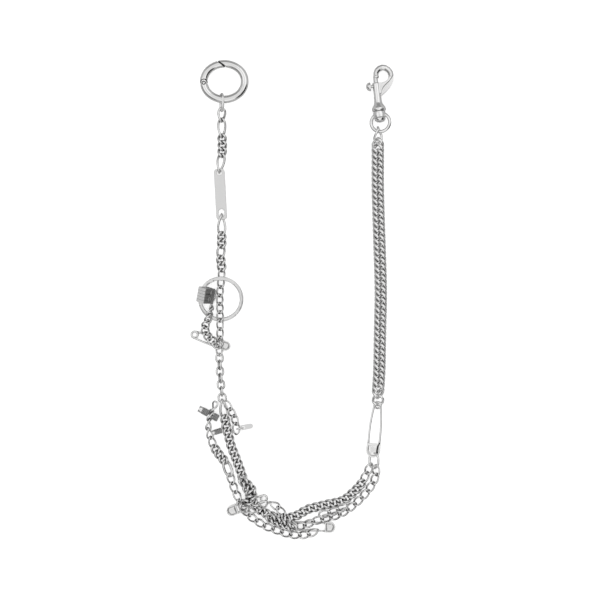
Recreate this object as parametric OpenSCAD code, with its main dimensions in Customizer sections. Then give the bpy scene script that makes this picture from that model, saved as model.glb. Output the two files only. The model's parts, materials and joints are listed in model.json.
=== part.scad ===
// Trouser chain laid out in a U on a flat surface. Millimetres, +Z up.
// The spring ring end is at the upper left and the snap hook end at the upper right.
// Origin: centre of the footprint, on the surface that the chain lies on.

/* [Curb links] */
// Width over the sides of a small curb link
small_w = 6.5; // [6.3:0.1:6.6]
// Width over the sides of a thin open link
open_w = 5.8; // [5.7:0.1:5.9]
// Width over the sides of a link of the double curb chain
double_w = 8.7; // [8.6:0.1:8.8]
// Wire of the small curb links
small_wire = 1.4; // [1.2:0.1:1.4]
// Wire of the thin open links
open_wire = 1.1; // [0.9:0.1:1.1]
// Wire of the double curb chain
double_wire = 1.6; // [1.4:0.1:1.6]
// Angle that each end of a curb link is twisted out of its middle plane
link_twist = 55; // [54:1:57]
// Stations round one link
link_sides = 10; // [10:2:16]
// Sides of the link wire
wire_sides = 5; // [5:1:6]

/* [Spring ring] */
// Longest outer size of the oval ring
ring_l = 33; // [32.5:0.5:34]
// Shortest outer size of the oval ring
ring_w = 29.6; // [29.2:0.2:29.8]
// Wire of the ring
ring_wire = 5.2; // [5:0.1:5.2]
// Lean of the ring, which rests on the first link at its lower end
ring_tilt = 4; // [4:0.1:4.4]
// Rivet that the gate turns on
ring_pin = 1.5; // [1.2:0.1:1.6]

/* [Plate and split ring] */
// Length of the bare name plate
plate_l = 34.6; // [34:0.2:35]
// Width of the name plate
plate_w = 7; // [6:0.2:7.2]
// Thickness of the name plate
plate_t = 1.3; // [1:0.1:1.4]
// Outer diameter of the split ring
split_d = 30.6; // [30:0.2:31]
// Radial width of the split ring's band
split_band = 2.4; // [2:0.1:2.5]
// Height of the split ring's two turns together
split_h = 1.8; // [1.4:0.1:1.8]

/* [Padlock] */
// Length of the padlock body across its shackle
lock_w = 10.2; // [9:0.2:10.4]
// Height of the padlock body
lock_h = 9.4; // [9:0.1:9.6]
// Thickness of the padlock body
lock_t = 7.6; // [7:0.1:7.8]
// Wire of the shackle
shackle_wire = 1.6; // [1.4:0.1:1.8]

/* [Safety pins] */
// Wire of the pins
pin_wire = 1.4; // [1.2:0.1:1.4]
// Outer diameter of the coil
pin_coil = 5.6; // [5.4:0.1:5.8]
// Thickness of the sheet metal cap
cap_t = 1.8; // [1.6:0.1:2]

/* [Charms] */
// Diameter of the barrel charm
barrel_d = 5.2; // [4.8:0.1:5.2]
// Length of the barrel charm
barrel_l = 15; // [14.5:0.1:15.2]
// Width of the flat tag
tag_w = 3.4; // [3:0.1:3.6]

/* [Snap hook] */
// Diameter of the hook's barrel
barrel_w = 4.8; // [4.6:0.1:5]
// Rod of the hook's loop
hook_rod = 4.2; // [4:0.1:4.3]
// Diameter of the sliding bolt
bolt_d = 3; // [2.8:0.1:3.2]
// Outer diameter of the swivel ring
eye_d = 14.6; // [14.4:0.1:14.8]
// Wire of the swivel ring
eye_wire = 2.2; // [2:0.1:2.3]

/* [Hidden] */

play = 0.1;
slack = 0.5;
fine = 64;
side_wire = 1.2;

// One row per kind of link. Columns: pitch, length, width, wire, twist.
SMALL = [4.5, 4.5 + 2 * small_wire + slack, small_w, small_wire, link_twist];
OPEN = [6.3, 6.3 + 2 * open_wire + slack + 0.1, open_w, open_wire, link_twist];
FINE = [5.78, 5.78 + 2 * open_wire + slack + 0.1, open_w - 0.5, open_wire, link_twist];
MEDIUM = [7.1, 7.1 + 2 * small_wire + slack + 0.2, 6.3, small_wire, link_twist];
LONG = [10.6, 10.6 + 2 * small_wire + slack + 0.3, 6.3, small_wire, link_twist];
LONGER = [11.9, 11.9 + 2 * small_wire + slack + 0.3, 6.6, small_wire, link_twist];
CLIP = [8.8, 8.8 + 3.9, 6.6, 1.6, link_twist];
SIDE = [4.5, 4.5 + 2 * side_wire + slack + 0.2, 6.3, side_wire, link_twist];
CABLE = [4.5, 4.5 + 2 * small_wire + 0.2, 6.5, small_wire, 0];
DOUBLE = [3.87, 2 * 3.87 + 2 * double_wire + 0.46, double_w, double_wire, link_twist];
PITCH = 0;
LENGTH = 1;
WIDTH = 2;
WIRE = 3;
TWIST = 4;

function repeat(item, times) = [for (i = [1:times]) item];

// The routes that the strands lie along, as x, y and the height of the links' middle.
upper_route = [[-47.8, 128.7, 4.2], [-48, 122, 2.6], [-48, 114.5, 2.2], [-47.5, 101.5, 2.2], [-48.5, 95, 2.4],
    [-49.5, 87.5, 2.6]];
lower_route = [[-48, 56.85, 2.78], [-48, 43, 2.1], [-48, 36.5, 2], [-49, 29, 2], [-48, 23, 2], [-48, 17.5, 1.9],
    [-48.5, 11.5, 1.8], [-49, 6, 1.8], [-49.5, -0.5, 2.2], [-49, -5.5, 3.4], [-49, -10.5, 4.4], [-49, -14.5, 4.4],
    [-49, -20, 3.6], [-49, -25.5, 3.5], [-49.5, -31, 3.55], [-49.5, -37.5, 3.4]];
side_route = [[-54.4, 0.05, 3.5], [-54.7, -5.3, 4.2], [-56, -10.4, 5.4], [-57.5, -14.5, 5], [-59.5, -18.5, 4.1],
    [-59, -22.5, 4], [-56.5, -26, 4.4], [-53.5, -28.5, 5.6], [-51, -30.5, 7], [-48.5, -33, 7.2]];
cable_route = [[-49.5, -37.5, 3.4], [-49, -51.5, 3.3], [-47.35, -69, 3.15]];
left_route = [[-52, -70, 5], [-54.1, -74.45, 3.85], [-55.5, -78, 3], [-57, -83, 3.1], [-57, -88.5, 2.7], [-55.5, -94, 2.1],
    [-54, -98.5, 1.95], [-51.5, -103, 2], [-48, -107.5, 2], [-45, -111, 2], [-43, -115, 2], [-42.5, -119, 1.95]];
loop_route = [[-42.5, -118.85, 1.9], [-41, -124, 1.9], [-40, -128, 1.9], [-38, -132, 2.6], [-35.5, -137, 4],
    [-33.5, -141.5, 4.1], [-30, -146, 2.9], [-25.5, -149.5, 1.85], [-20, -153.3, 1.85], [-14.5, -155.3, 1.85],
    [-7, -158, 1.85], [0.5, -159.95, 1.85], [8, -159.95, 2], [13.5, -158.5, 3.4], [18.5, -155, 3.9]];
branch_route = [[-45, -69.5, 6.8], [-42.5, -74, 5.6], [-40, -78.5, 3.4], [-38.5, -83, 1.8], [-38, -88.5, 1.8],
    [-38, -94, 1.8]];
main_route = [[-47.6, -68.9, 3.2], [-46, -78.5, 2.4], [-45.5, -83, 2], [-44.5, -88, 2], [-43, -93, 2], [-42, -98.5, 2],
    [-39.5, -104.5, 2], [-37.5, -110, 2], [-35.5, -115, 2], [-34, -120.5, 2], [-32, -125.5, 2.2], [-30, -129.5, 3.3],
    [-28, -134, 4.5], [-26, -138.5, 4.7], [-23, -142, 4], [-18.5, -145, 2.1], [-13, -147.5, 1.9], [-7, -148.5, 1.9],
    [-1, -148, 1.9], [4.5, -146, 1.9], [9.5, -142.5, 1.9], [17.5, -140.5, 1.9], [25.5, -138.5, 1.9],
    [33.5, -137, 1.9], [38, -134, 1.9], [41.5, -130.5, 1.9], [45.5, -127, 1.9], [48, -123, 1.9], [50.7, -117.5, 1.9],
    [53.55, -111.8, 1.7]];
middle_route = [[36.5, -139.5, 5.4], [31, -142.5, 5.4], [25.5, -144.5, 5.4], [19.5, -145.5, 5.4], [14, -146, 5.4]];
outer_route = [[56.35, -112.95, 4.65], [57, -119.5, 2.2], [54, -126, 1.7], [49.5, -132, 1.7], [44, -137.5, 1.7],
    [38.5, -142, 1.7], [33, -145.5, 1.7], [27.5, -147.5, 1.8], [22, -148.5, 3.2], [15.5, -150, 3.9], [8.5, -153, 3.7],
    [4, -154.5, 4.2], [-0.5, -153.5, 5.2], [-3.5, -150, 5.7], [-6, -146, 5.6], [-9, -141.5, 4.4], [-13, -138.5, 3.2],
    [-16.5, -137, 2.7]];
curb_route = [[58, 106.5, 2.5], [58, 74.5, 2.5], [59, 40.5, 2.5], [60, 6.5, 2.5], [59.5, -20.5, 2.5], [59, -48, 2.5],
    [58, -64, 2.5]];

// A smooth line through a route, and the distance along it.
function pad(r) = concat([2 * r[0] - r[1]], r, [2 * r[len(r) - 1] - r[len(r) - 2]]);
function blend(a, b, c, d, t) = 0.5 * (2 * b + (c - a) * t + (2 * a - 5 * b + 4 * c - d) * t * t
    + (3 * b - a - 3 * c + d) * t * t * t);
function smooth(r, n = 8) = let (p = pad(r))
    concat([for (i = [1:len(p) - 3]) for (k = [0:n - 1]) blend(p[i - 1], p[i], p[i + 1], p[i + 2], k / n)],
        [r[len(r) - 1]]);
function lengths(line, i = 0, so_far = 0) = i == len(line) - 1 ? [so_far]
    : concat([so_far], lengths(line, i + 1, so_far + norm(line[i + 1] - line[i])));
function along(line, marks, s) = let (
    i = min(max(len([for (m = marks) if (m <= s) m]) - 1, 0), len(line) - 2),
    t = (s - marks[i]) / (marks[i + 1] - marks[i]))
    line[i] + t * (line[i + 1] - line[i]);
function sum_pitch(kinds, n) = n == 0 ? 0 : kinds[n - 1][PITCH] + sum_pitch(kinds, n - 1);
function azimuth(v) = atan2(v[1], v[0]);
function elevation(v) = atan2(v[2], norm([v[0], v[1]]));

// The middle line of a link, whose ends are twisted in opposite senses, and the skin round it.
function link_point(k, t) = let (a = (k[LENGTH] - k[WIRE]) / 2, b = (k[WIDTH] - k[WIRE]) / 2, roll = k[TWIST] * cos(t))
    [a * cos(t), b * sin(t) * cos(roll), b * sin(t) * sin(roll)];
function link_skin(k) = [for (i = [0:link_sides - 1]) let (
    t = 360 * i / link_sides,
    c = link_point(k, t),
    ahead = link_point(k, t + 1) - link_point(k, t - 1),
    tangent = ahead / norm(ahead),
    lift = cross(tangent, [c[0], c[1], 0]),
    up = lift / norm(lift),
    side = cross(up, tangent))
    for (j = [0:wire_sides - 1]) let (turn = 360 * j / wire_sides)
        c + k[WIRE] / 2 * (cos(turn) * side + sin(turn) * up)];
function skin_faces(n, m) = [for (i = [0:n - 1]) for (j = [0:m - 1]) let (i2 = (i + 1) % n, j2 = (j + 1) % m)
    each [[i * m + j, i2 * m + j, i2 * m + j2], [i * m + j, i2 * m + j2, i * m + j2]]];

module curb_link(k) {
    polyhedron(points = link_skin(k), faces = skin_faces(link_sides, wire_sides));
}

// A flat oval link or ring with true round wire, its long axis along X.
module flat_link(l, w, wire) {
    r = (w - wire) / 2;
    straight = l - w;
    for (s = [-1, 1]) {
        translate([s * straight / 2, 0, 0]) rotate([0, 0, -s * 90]) rotate_extrude(angle = 180, $fn = fine)
            translate([r, 0]) circle(d = wire, $fn = 24);
        translate([0, s * r, 0]) rotate([0, 90, 0]) cylinder(d = wire, h = straight, center = true, $fn = 24);
    }
}

function other_hand(k) = [k[PITCH], k[LENGTH], k[WIDTH], k[WIRE], -k[TWIST]];

// A strand: links of the given kinds, one after the other along a route. Hand -1 twists them the other way.
module strand(route, kinds, rolls, hand = 1) {
    line = smooth(route);
    marks = lengths(line);
    for (i = [0:len(kinds) - 1]) {
        from = along(line, marks, sum_pitch(kinds, i));
        to = along(line, marks, sum_pitch(kinds, i + 1));
        translate((from + to) / 2)
            rotate([rolls[i % len(rolls)], -elevation(to - from), azimuth(to - from)])
                if (kinds[i][TWIST] == 0) flat_link(kinds[i][LENGTH], kinds[i][WIDTH], kinds[i][WIRE]);
                else curb_link(hand > 0 ? kinds[i] : other_hand(kinds[i]));
    }
}

module torus(d, wire) {
    rotate_extrude($fn = fine) translate([(d - wire) / 2, 0]) circle(d = wire, $fn = 24);
}

// Spring ring: a four-centred oval of round wire, with a riveted gate in its upper left side.
ring_at = [-46.2, 147.95];
half_l = (ring_l - ring_wire) / 2;
half_w = (ring_w - ring_wire) / 2;
end_r = half_w - 1;
end_x = half_l - end_r;
side_r = (end_x * end_x + half_w * half_w - end_r * end_r) / (2 * (half_w - end_r));
side_y = side_r - half_w;
end_turn = atan2(side_y, end_x);
ring_z = ring_wire / 2 + half_w * sin(ring_tilt);
hinge_turn = 186.6;
hinge_at = [-end_x + end_r * cos(hinge_turn), end_r * sin(hinge_turn)];
knuckle_r = ring_wire / 2 - 0.1;
knuckle_gap = 0.15;
tongue_t = 1.7;
gate_cut = [-1.7, 11.7];
gate_cut_turn = -38;
cut_about = atan2(gate_cut[1] + side_y, gate_cut[0]);
cut_reach = 14;
seam = 0.06;
lap = 0.5;

module ring_frame() {
    translate([ring_at[0], ring_at[1], ring_z]) rotate([-ring_tilt, 0, 0]) children();
}

// A piece of the oval: an arc of wire about c, between two turns.
module ring_arc(c, r, from, to, d) {
    translate([c[0], c[1], 0]) rotate([0, 0, from]) rotate_extrude(angle = to - from, $fn = fine)
        translate([r, 0]) circle(d = d, $fn = 32);
}

// Everything on one side of the slanted cut, in the body's sense for s = 1 and the gate's for s = -1.
module past_cut(s) {
    translate([gate_cut[0], gate_cut[1], 0]) rotate([0, 0, gate_cut_turn])
        translate([-8, (s > 0 ? -12 : 0) + s * play, -ring_wire]) cube([16, 12, 2 * ring_wire]);
}

module at_hinge(r, h) {
    translate([hinge_at[0], hinge_at[1], 0]) cylinder(r = r, h = h, center = true, $fn = fine);
}

module spring_ring() {
    color("gainsboro") ring_frame() {
        ring_arc([end_x, 0], end_r, -end_turn, end_turn, ring_wire);
        ring_arc([0, side_y], side_r, 180 + end_turn - lap, 360 - end_turn + lap, ring_wire - seam);
        difference() {
            ring_arc([0, -side_y], side_r, end_turn - lap, cut_about + cut_reach, ring_wire - seam);
            past_cut(1);
        }
        difference() {
            ring_arc([-end_x, 0], end_r, hinge_turn - 18, 180 + end_turn, ring_wire);
            linear_extrude(height = 2 * ring_wire, center = true) difference() {
                translate([hinge_at[0] - 5, hinge_at[1]]) square([10, 8]);
                translate(hinge_at) circle(r = knuckle_r, $fn = fine);
            }
            at_hinge(knuckle_r + knuckle_gap, tongue_t + 2 * play);
        }
        at_hinge(ring_pin / 2, ring_wire + 0.2);
    }
}

module ring_gate() {
    color("silver") ring_frame() difference() {
        union() {
            difference() {
                ring_arc([0, -side_y], side_r, cut_about - cut_reach, 180 - end_turn + lap, ring_wire - seam);
                past_cut(-1);
            }
            difference() {
                ring_arc([-end_x, 0], end_r, 180 - end_turn, hinge_turn, ring_wire);
                at_hinge(knuckle_r + knuckle_gap, 2 * ring_wire);
                translate([hinge_at[0], hinge_at[1], -ring_wire]) rotate([0, 0, 45]) translate([0, -8, 0])
                    cube([8, 8, 2 * ring_wire]);
            }
            translate([0, 0, -tongue_t / 2]) linear_extrude(height = tongue_t) {
                translate(hinge_at) circle(r = knuckle_r - 0.1, $fn = fine);
                translate(hinge_at + [-1.9, 0]) square([3.8, 3.6]);
            }
        }
        at_hinge(ring_pin / 2 + play, 2 * ring_wire);
    }
}

// First link: stands on edge round the ring's wire.
first_at = [-47.9, 133.7, 4.4];
first_lean = 75;

module first_link() {
    color("silver") translate(first_at) rotate([first_lean, 0, -90]) flat_link(13.2, 9, 1.5);
}

module upper_links() {
    color("silver") strand(upper_route, [MEDIUM, LONG, SMALL, SMALL, SMALL, LONG], [-27, -19, -12, -10, -16, -32], -1);
}

// Name plate: a bare strip with rounded ends, raised on the links that pass through its holes.
plate_at = [-48.8, 71.5];
plate_lean = 3;
plate_z = 2.65;
plate_hole = 3.2;
upper_inset = 2.6;
lower_inset = 3.9;
plate_corner = 2;
slot_extra = 0.4;
slot_run = 1.6;

module rounded(l, w, r) {
    square([l, w - 2 * r], center = true);
    square([l - 2 * r, w], center = true);
    for (x = [-1, 1]) for (y = [-1, 1]) translate([x * (l / 2 - r), y * (w / 2 - r)]) circle(r = r, $fn = 32);
}

module name_plate() {
    color("lightgrey") translate([plate_at[0], plate_at[1], plate_z]) rotate([0, 0, 90 + plate_lean])
        translate([0, 0, -plate_t / 2]) linear_extrude(height = plate_t) difference() {
            rounded(plate_l, plate_w, plate_corner);
            translate([plate_l / 2 - upper_inset, 0]) circle(d = plate_hole, $fn = 32);
            translate([lower_inset - plate_l / 2, 0]) {
                for (x = [0, slot_run]) translate([x, 0]) circle(d = plate_hole + slot_extra, $fn = 32);
                translate([0, -(plate_hole + slot_extra) / 2]) square([slot_run, plate_hole + slot_extra]);
            }
        }
}

module lower_links() {
    color("silver") strand(lower_route, concat([LONGER, SMALL, SMALL, MEDIUM, SMALL, SMALL], repeat(FINE, 10)),
        concat([-33, -10], repeat(0, 13), [5]));
}

// Split ring: two flat turns, raised at the top where the chain passes under it.
split_at = [-48.6, 0.4];
split_rise = 8;
split_lip = 0.25;
split_notch = 0.3;
split_gap = 0.12;
split_z = split_h / 2 * cos(split_rise) + split_d / 2 * sin(split_rise);

module split_ring() {
    r = split_d / 2;
    w = split_band;
    h = split_h / 2;
    g = split_gap;
    n = split_notch;
    color("silver") translate([split_at[0], split_at[1], split_z]) rotate([split_rise, 0, 0])
        rotate_extrude($fn = fine) polygon([[r - w + split_lip, -h], [r - split_lip, -h], [r, -h + split_lip], [r, -g],
            [r - n, 0], [r, g], [r, h - split_lip], [r - split_lip, h], [r - w + split_lip, h], [r - w, h - split_lip],
            [r - w, g], [r - w + n, 0], [r - w, -g], [r - w, -h + split_lip]]);
}

// Padlock: a laminated body that leans on the split ring, with its shackle at the lower right.
lock_at = [-59.1, 2.25, 15.15];
lock_lean = 46;
lock_turn = -10;
lock_plates = 5;
lock_groove = 0.3;
lock_corner = 0.8;
shackle_reach = 3.9;
shackle_span = 7.4;
keyhole = 1.3;
key_slot = 0.6;
key_boss = 4;
key_at = [5.83, -2];
recess = [4.6, 2.9];
recess_at = [1.2, 1.2];
plate_seam = 0.1;
leg_depth = 2.8;

module lock_frame() {
    translate(lock_at) rotate([split_rise, 0, 0]) rotate([0, 0, lock_turn]) rotate([0, lock_lean, 0]) children();
}

module lock_slice(from, to, inset) {
    translate([lock_h / 2, to, -lock_t / 2]) rotate([90, 0, 0]) linear_extrude(height = to - from)
        rounded(lock_h - 2 * inset, lock_t - 2 * inset, lock_corner);
}

module padlock_body() {
    pitch = lock_w / lock_plates;
    color("darkgrey") lock_frame() difference() {
        union() {
            lock_slice(-lock_w / 2 + 0.2, lock_w / 2 - 0.2, lock_groove);
            for (i = [0:lock_plates - 1]) {
                from = -lock_w / 2 + i * pitch;
                lock_slice(from + (i == 0 ? 0 : plate_seam), from + pitch - (i == lock_plates - 1 ? 0 : plate_seam), 0);
            }
            translate([key_at[0], key_at[1], -0.5]) cylinder(d = key_boss, h = 0.9, $fn = 32);
        }
        translate([key_at[0], key_at[1], -1.2]) cylinder(d = keyhole, h = 3, $fn = 24);
        translate([key_at[0] - key_slot / 2, key_at[1] - keyhole, -1.2]) cube([key_slot, keyhole, 3]);
        translate([recess_at[0], recess_at[1], -0.6]) cube([recess[0], recess[1], 2]);
        for (s = [-1, 1]) translate([lock_h - leg_depth - 0.2, s * shackle_span / 2, -lock_t / 2]) rotate([0, 90, 0])
            cylinder(d = shackle_wire + 3 * play, h = 5, $fn = 24);
    }
}

module padlock_shackle() {
    turn = 1.6;
    leg = shackle_reach - turn;
    color("silver") lock_frame() translate([lock_h, 0, -lock_t / 2]) {
        for (s = [-1, 1]) {
            translate([-leg_depth, s * shackle_span / 2, 0]) rotate([0, 90, 0])
                cylinder(d = shackle_wire, h = leg + leg_depth, $fn = 24);
            translate([leg, s * (shackle_span / 2 - turn), 0]) rotate([0, 0, s > 0 ? 0 : -90])
                rotate_extrude(angle = 90, $fn = fine) translate([turn, 0]) circle(d = shackle_wire, $fn = 24);
        }
        translate([leg + turn, 0, 0]) rotate([90, 0, 0])
            cylinder(d = shackle_wire, h = shackle_span - 2 * turn, center = true, $fn = 24);
    }
}

module side_chain() {
    color("silver") strand(side_route, concat([OPEN], repeat(SIDE, 7)), [-94, -70, -54, -33, -21, -12, 0, 0]);
}

module cable_chain() {
    color("silver") strand(cable_route, repeat(CABLE, 7), [150, 70, 150, 70, 150, 80, 183]);
}

// Safety pin in its own frame: the coil at the origin and the cap towards +X.
cap_rim = 0.3;
slot_back = 1.5;

module safety_pin(reach, cap_l, cap_w, coil_lean = 0, slot = [0, 0]) {
    r = (pin_coil - pin_wire) / 2;
    from_cap = reach - cap_l / 2;
    spread = cap_w / 2 - pin_wire / 2 - 0.3;
    rotate([coil_lean, 0, 0]) rotate_extrude($fn = fine) translate([r, 0]) circle(d = pin_wire, $fn = 8);
    for (s = [-1, 1])
        rod([0, s * r * cos(coil_lean), s * r * sin(coil_lean)], [from_cap + 1, s * spread, 0], pin_wire - 0.2);
    translate([from_cap, 0, -cap_t / 2]) difference() {
        union() {
            cap_slab(cap_l - cap_rim, cap_w - 2 * cap_rim, 0, cap_t);
            cap_slab(cap_l, cap_w, cap_rim, cap_t - 2 * cap_rim);
        }
        if (slot[0] > 0) translate([cap_l - slot_back - slot[0], -slot[1] / 2, -1])
            cube([slot[0], slot[1], cap_t + 2]);
    }
}

module cap_slab(l, w, z, h) {
    translate([0, 0, z]) linear_extrude(height = h) {
        translate([0, -w / 2]) square([l - w / 2, w]);
        translate([l - w / 2, 0]) circle(d = w, $fn = fine);
    }
}

module rod(a, b, d) {
    v = b - a;
    translate(a) rotate([0, 90 - elevation(v), azimuth(v)]) cylinder(d = d, h = norm(v), $fn = 24);
}

module safety_pin_1() {
    color("silver") translate([-66.4, -23.8, 0.8]) rotate([0, -0.8, -20]) safety_pin(22.4, 6.6, 6.6);
}

module safety_pin_2() {
    color("silver") translate([-19.3, -134.9, 2.45]) rotate([0, 3, -158.7]) safety_pin(23.4, 7.5, 7.5);
}

module safety_pin_3() {
    color("silver") translate([1.1, -153.5, 0.8]) rotate([0, -0.8, -3]) safety_pin(24.5, 7.2, 7.4);
}

module safety_pin_4() {
    color("silver") translate([57.9, -71.7, 2.1]) rotate([0, -2.3, -95.7])
        safety_pin(30.8, 9.6, 9.4, 40, [4.4, 5.8]);
}

// Barrel charm: two turned sections with a narrow neck that a link goes round.
barrel_at = [-63.8, -73.75];
barrel_turn = -27.5;
neck_d = 1.8;

module barrel_charm() {
    cap = 3.2;
    neck = 3.6;
    first = 4.4;
    color("dimgrey") translate([barrel_at[0], barrel_at[1], barrel_d / 2 + 2 * play]) rotate([0, 90, barrel_turn]) {
        cylinder(d = barrel_d, h = cap, $fn = 48);
        cylinder(d = barrel_d - 0.5, h = cap + first, $fn = 48);
        cylinder(d = neck_d, h = barrel_l - 1, $fn = 24);
        translate([0, 0, cap + first + neck]) cylinder(d = barrel_d - 0.3, h = barrel_l - cap - first - neck, $fn = 48);
    }
}

// Flat tag on the right branch, with a round tip and a ring through its hole.
tag_at = [-34.8, -87.1];
tag_turn = 11;
tag_l = 8.2;
tag_z = 2.9;
tag_t = 0.9;
tag_hole = 1.8;
tag_inset = 1.6;

module bar_tag() {
    color("gainsboro") translate([tag_at[0], tag_at[1], tag_z]) rotate([0, 0, tag_turn])
        translate([0, -tag_w / 2, -tag_t / 2]) linear_extrude(height = tag_t) difference() {
            union() {
                square([tag_l - tag_w / 2, tag_w], center = false);
                translate([tag_l - tag_w / 2, tag_w / 2]) circle(d = tag_w, $fn = 32);
            }
            translate([tag_inset, tag_w / 2]) circle(d = tag_hole, $fn = 24);
        }
}

module tag_ring() {
    color("silver") translate([tag_at[0] - 0.1, tag_at[1] - 0.2, tag_z - 0.1]) rotate([85, 0, tag_turn])
        translate([tag_inset - 2.3, 0, 0]) torus(5.5, 0.9);
}

module left_strand() {
    color("silver") strand(left_route, [OPEN, OPEN, OPEN, OPEN, OPEN, SMALL, SMALL, SMALL, CLIP],
        [66, 90, 114, 130, 158, -12, 0, 0, -8]);
}

module loop_strand() {
    color("silver") strand(loop_route, repeat(OPEN, 13), [12]);
}

module right_branch() {
    color("silver") strand(branch_route, [FINE, FINE, FINE, OPEN], [0]);
}

module main_curb() {
    color("silver") strand(main_route, concat([LONG], repeat(SMALL, 33), repeat(OPEN, 2)),
        concat([-30, -12], repeat(0, 33), [6]));
}

module middle_strand() {
    color("silver") strand(middle_route, repeat(OPEN, 3), [0]);
}

module outer_strand() {
    color("silver") strand(outer_route, repeat(OPEN, 16), concat(repeat(0, 14), [15, 35]));
}

module joint_ring() {
    color("silver") translate([55.3, -109.2, 3.55]) rotate([42, 0, -90]) flat_link(11.8, 9.4, 1.6);
}

module curb_jump_ring() {
    color("silver") translate([58.12, -68.1, 2.3]) rotate([8.6, 0, -90]) curb_link([0, 8.2, 8.6, 1.6, -50]);
}

module curb_chain() {
    color("silver") strand(curb_route, repeat(DOUBLE, 44), [0], -1);
}

module coupling_link() {
    color("silver") translate([58.1, 111.95, 3.75]) rotate([-50, 16, -90]) curb_link([0, 11.2, 7.6, 1.4, 50]);
}

// Snap hook. Its own frame has Y along the shank, from the swivel ring to the hook, and Z up.
hook_at = [59.6, 120.8, 5.3];
hook_turn = 6.3;
hook_dip = 4.8;
eye_y = -0.8;
eye_roll = 25;
boss_d = 5.6;
boss_from = 2.3;
boss_to = 7;
shank_d = 3;
flare_d = 9.2;
shank_from = 7.1;
barrel_from = 11;
barrel_to = 26.5;
loop_at = [5.4, 29.9];
loop_r = 5.4;
bolt_from = 17;
bolt_to = 31.2;
bolt_travel = 6;
knob_y = 24.3;
button_d = 7.2;
knob_slot = 2.2;
stem_d = 2;
knob_r = 3.1;
knob_t = 2.4;

module hook_frame() {
    translate(hook_at) rotate([0, 0, hook_turn]) rotate([-hook_dip, 0, 0]) children();
}

module turned(y) {
    translate([0, y, 0]) rotate([-90, 0, 0]) children();
}

module swivel_eye() {
    color("silver") hook_frame() difference() {
        union() {
            translate([0, eye_y, 0]) rotate([0, -eye_roll, 0]) torus(eye_d, eye_wire);
            turned(boss_from) cylinder(d = boss_d, h = boss_to - boss_from, $fn = 48);
        }
        turned(boss_from - 1) cylinder(d = shank_d + play, h = boss_to - boss_from + 2, $fn = 32);
    }
}

module hook_body() {
    color("gainsboro") hook_frame() difference() {
        union() {
            turned(-0.6) cylinder(d1 = 4.4, d2 = button_d, h = 1.4, $fn = 48);
            turned(0.8) cylinder(d = button_d, h = boss_from - 0.9, $fn = 48);
            turned(0.8) cylinder(d = shank_d, h = shank_from, $fn = 32);
            turned(shank_from) cylinder(d = flare_d, h = 1, $fn = 48);
            turned(shank_from + 1) cylinder(d1 = flare_d, d2 = barrel_w + 0.4, h = barrel_from - shank_from - 1, $fn = 48);
            turned(barrel_from) cylinder(d = barrel_w, h = barrel_to - barrel_from, $fn = 48);
            rod([1.2, 18, 0], [loop_at[0] + loop_r * cos(-48), loop_at[1] + loop_r * sin(-48), 0], hook_rod + 0.3);
            translate([loop_at[0], loop_at[1], 0]) rotate([0, 0, -58])
                rotate_extrude(angle = 214, $fn = fine) translate([loop_r, 0]) circle(d = hook_rod, $fn = 32);
            translate([loop_at[0] + loop_r * cos(153), loop_at[1] + loop_r * sin(153), 0])
                sphere(d = hook_rod + 0.4, $fn = 32);
        }
        turned(bolt_from - bolt_travel - 0.2)
            cylinder(d = bolt_d + play, h = bolt_to - bolt_from + bolt_travel + 0.3, $fn = 32);
        translate([-4, knob_y - bolt_travel - 1.2, -knob_slot / 2]) cube([4, bolt_travel + 2.4, knob_slot]);
    }
}

module bolt() {
    color("silver") hook_frame() {
        turned(bolt_from) cylinder(d = bolt_d, h = bolt_to - bolt_from, $fn = 32);
        translate([-4.4, knob_y, 0]) rotate([0, 90, 0]) cylinder(d = stem_d, h = 4.4, $fn = 24);
        translate([-4, knob_y - 0.8, -knob_t / 2]) linear_extrude(height = knob_t) intersection() {
            circle(r = knob_r, $fn = 48);
            translate([-4, -4]) square([4, 8]);
        }
    }
}

spring_ring();
ring_gate();
first_link();
upper_links();
name_plate();
lower_links();
split_ring();
padlock_body();
padlock_shackle();
side_chain();
cable_chain();
safety_pin_1();
safety_pin_2();
safety_pin_3();
safety_pin_4();
barrel_charm();
bar_tag();
tag_ring();
left_strand();
loop_strand();
right_branch();
main_curb();
middle_strand();
outer_strand();
joint_ring();
curb_jump_ring();
curb_chain();
coupling_link();
swivel_eye();
hook_body();
bolt();
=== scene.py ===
# %% [markdown]
# # A trouser chain
# The real thing is a handful of silver chains, rings, safety pins and charms, hooked together and
# laid out in a U on a white table. Nearly all of it is bent wire: the links, the pins and the rings.
# The CAD model already says where every link lies, so this lesson loads it first, measures the
# links and hangs better ones in their places.

# %% Load the frame
import json
import math
import bpy
import numpy as np
from mathutils import Matrix, Vector

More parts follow.
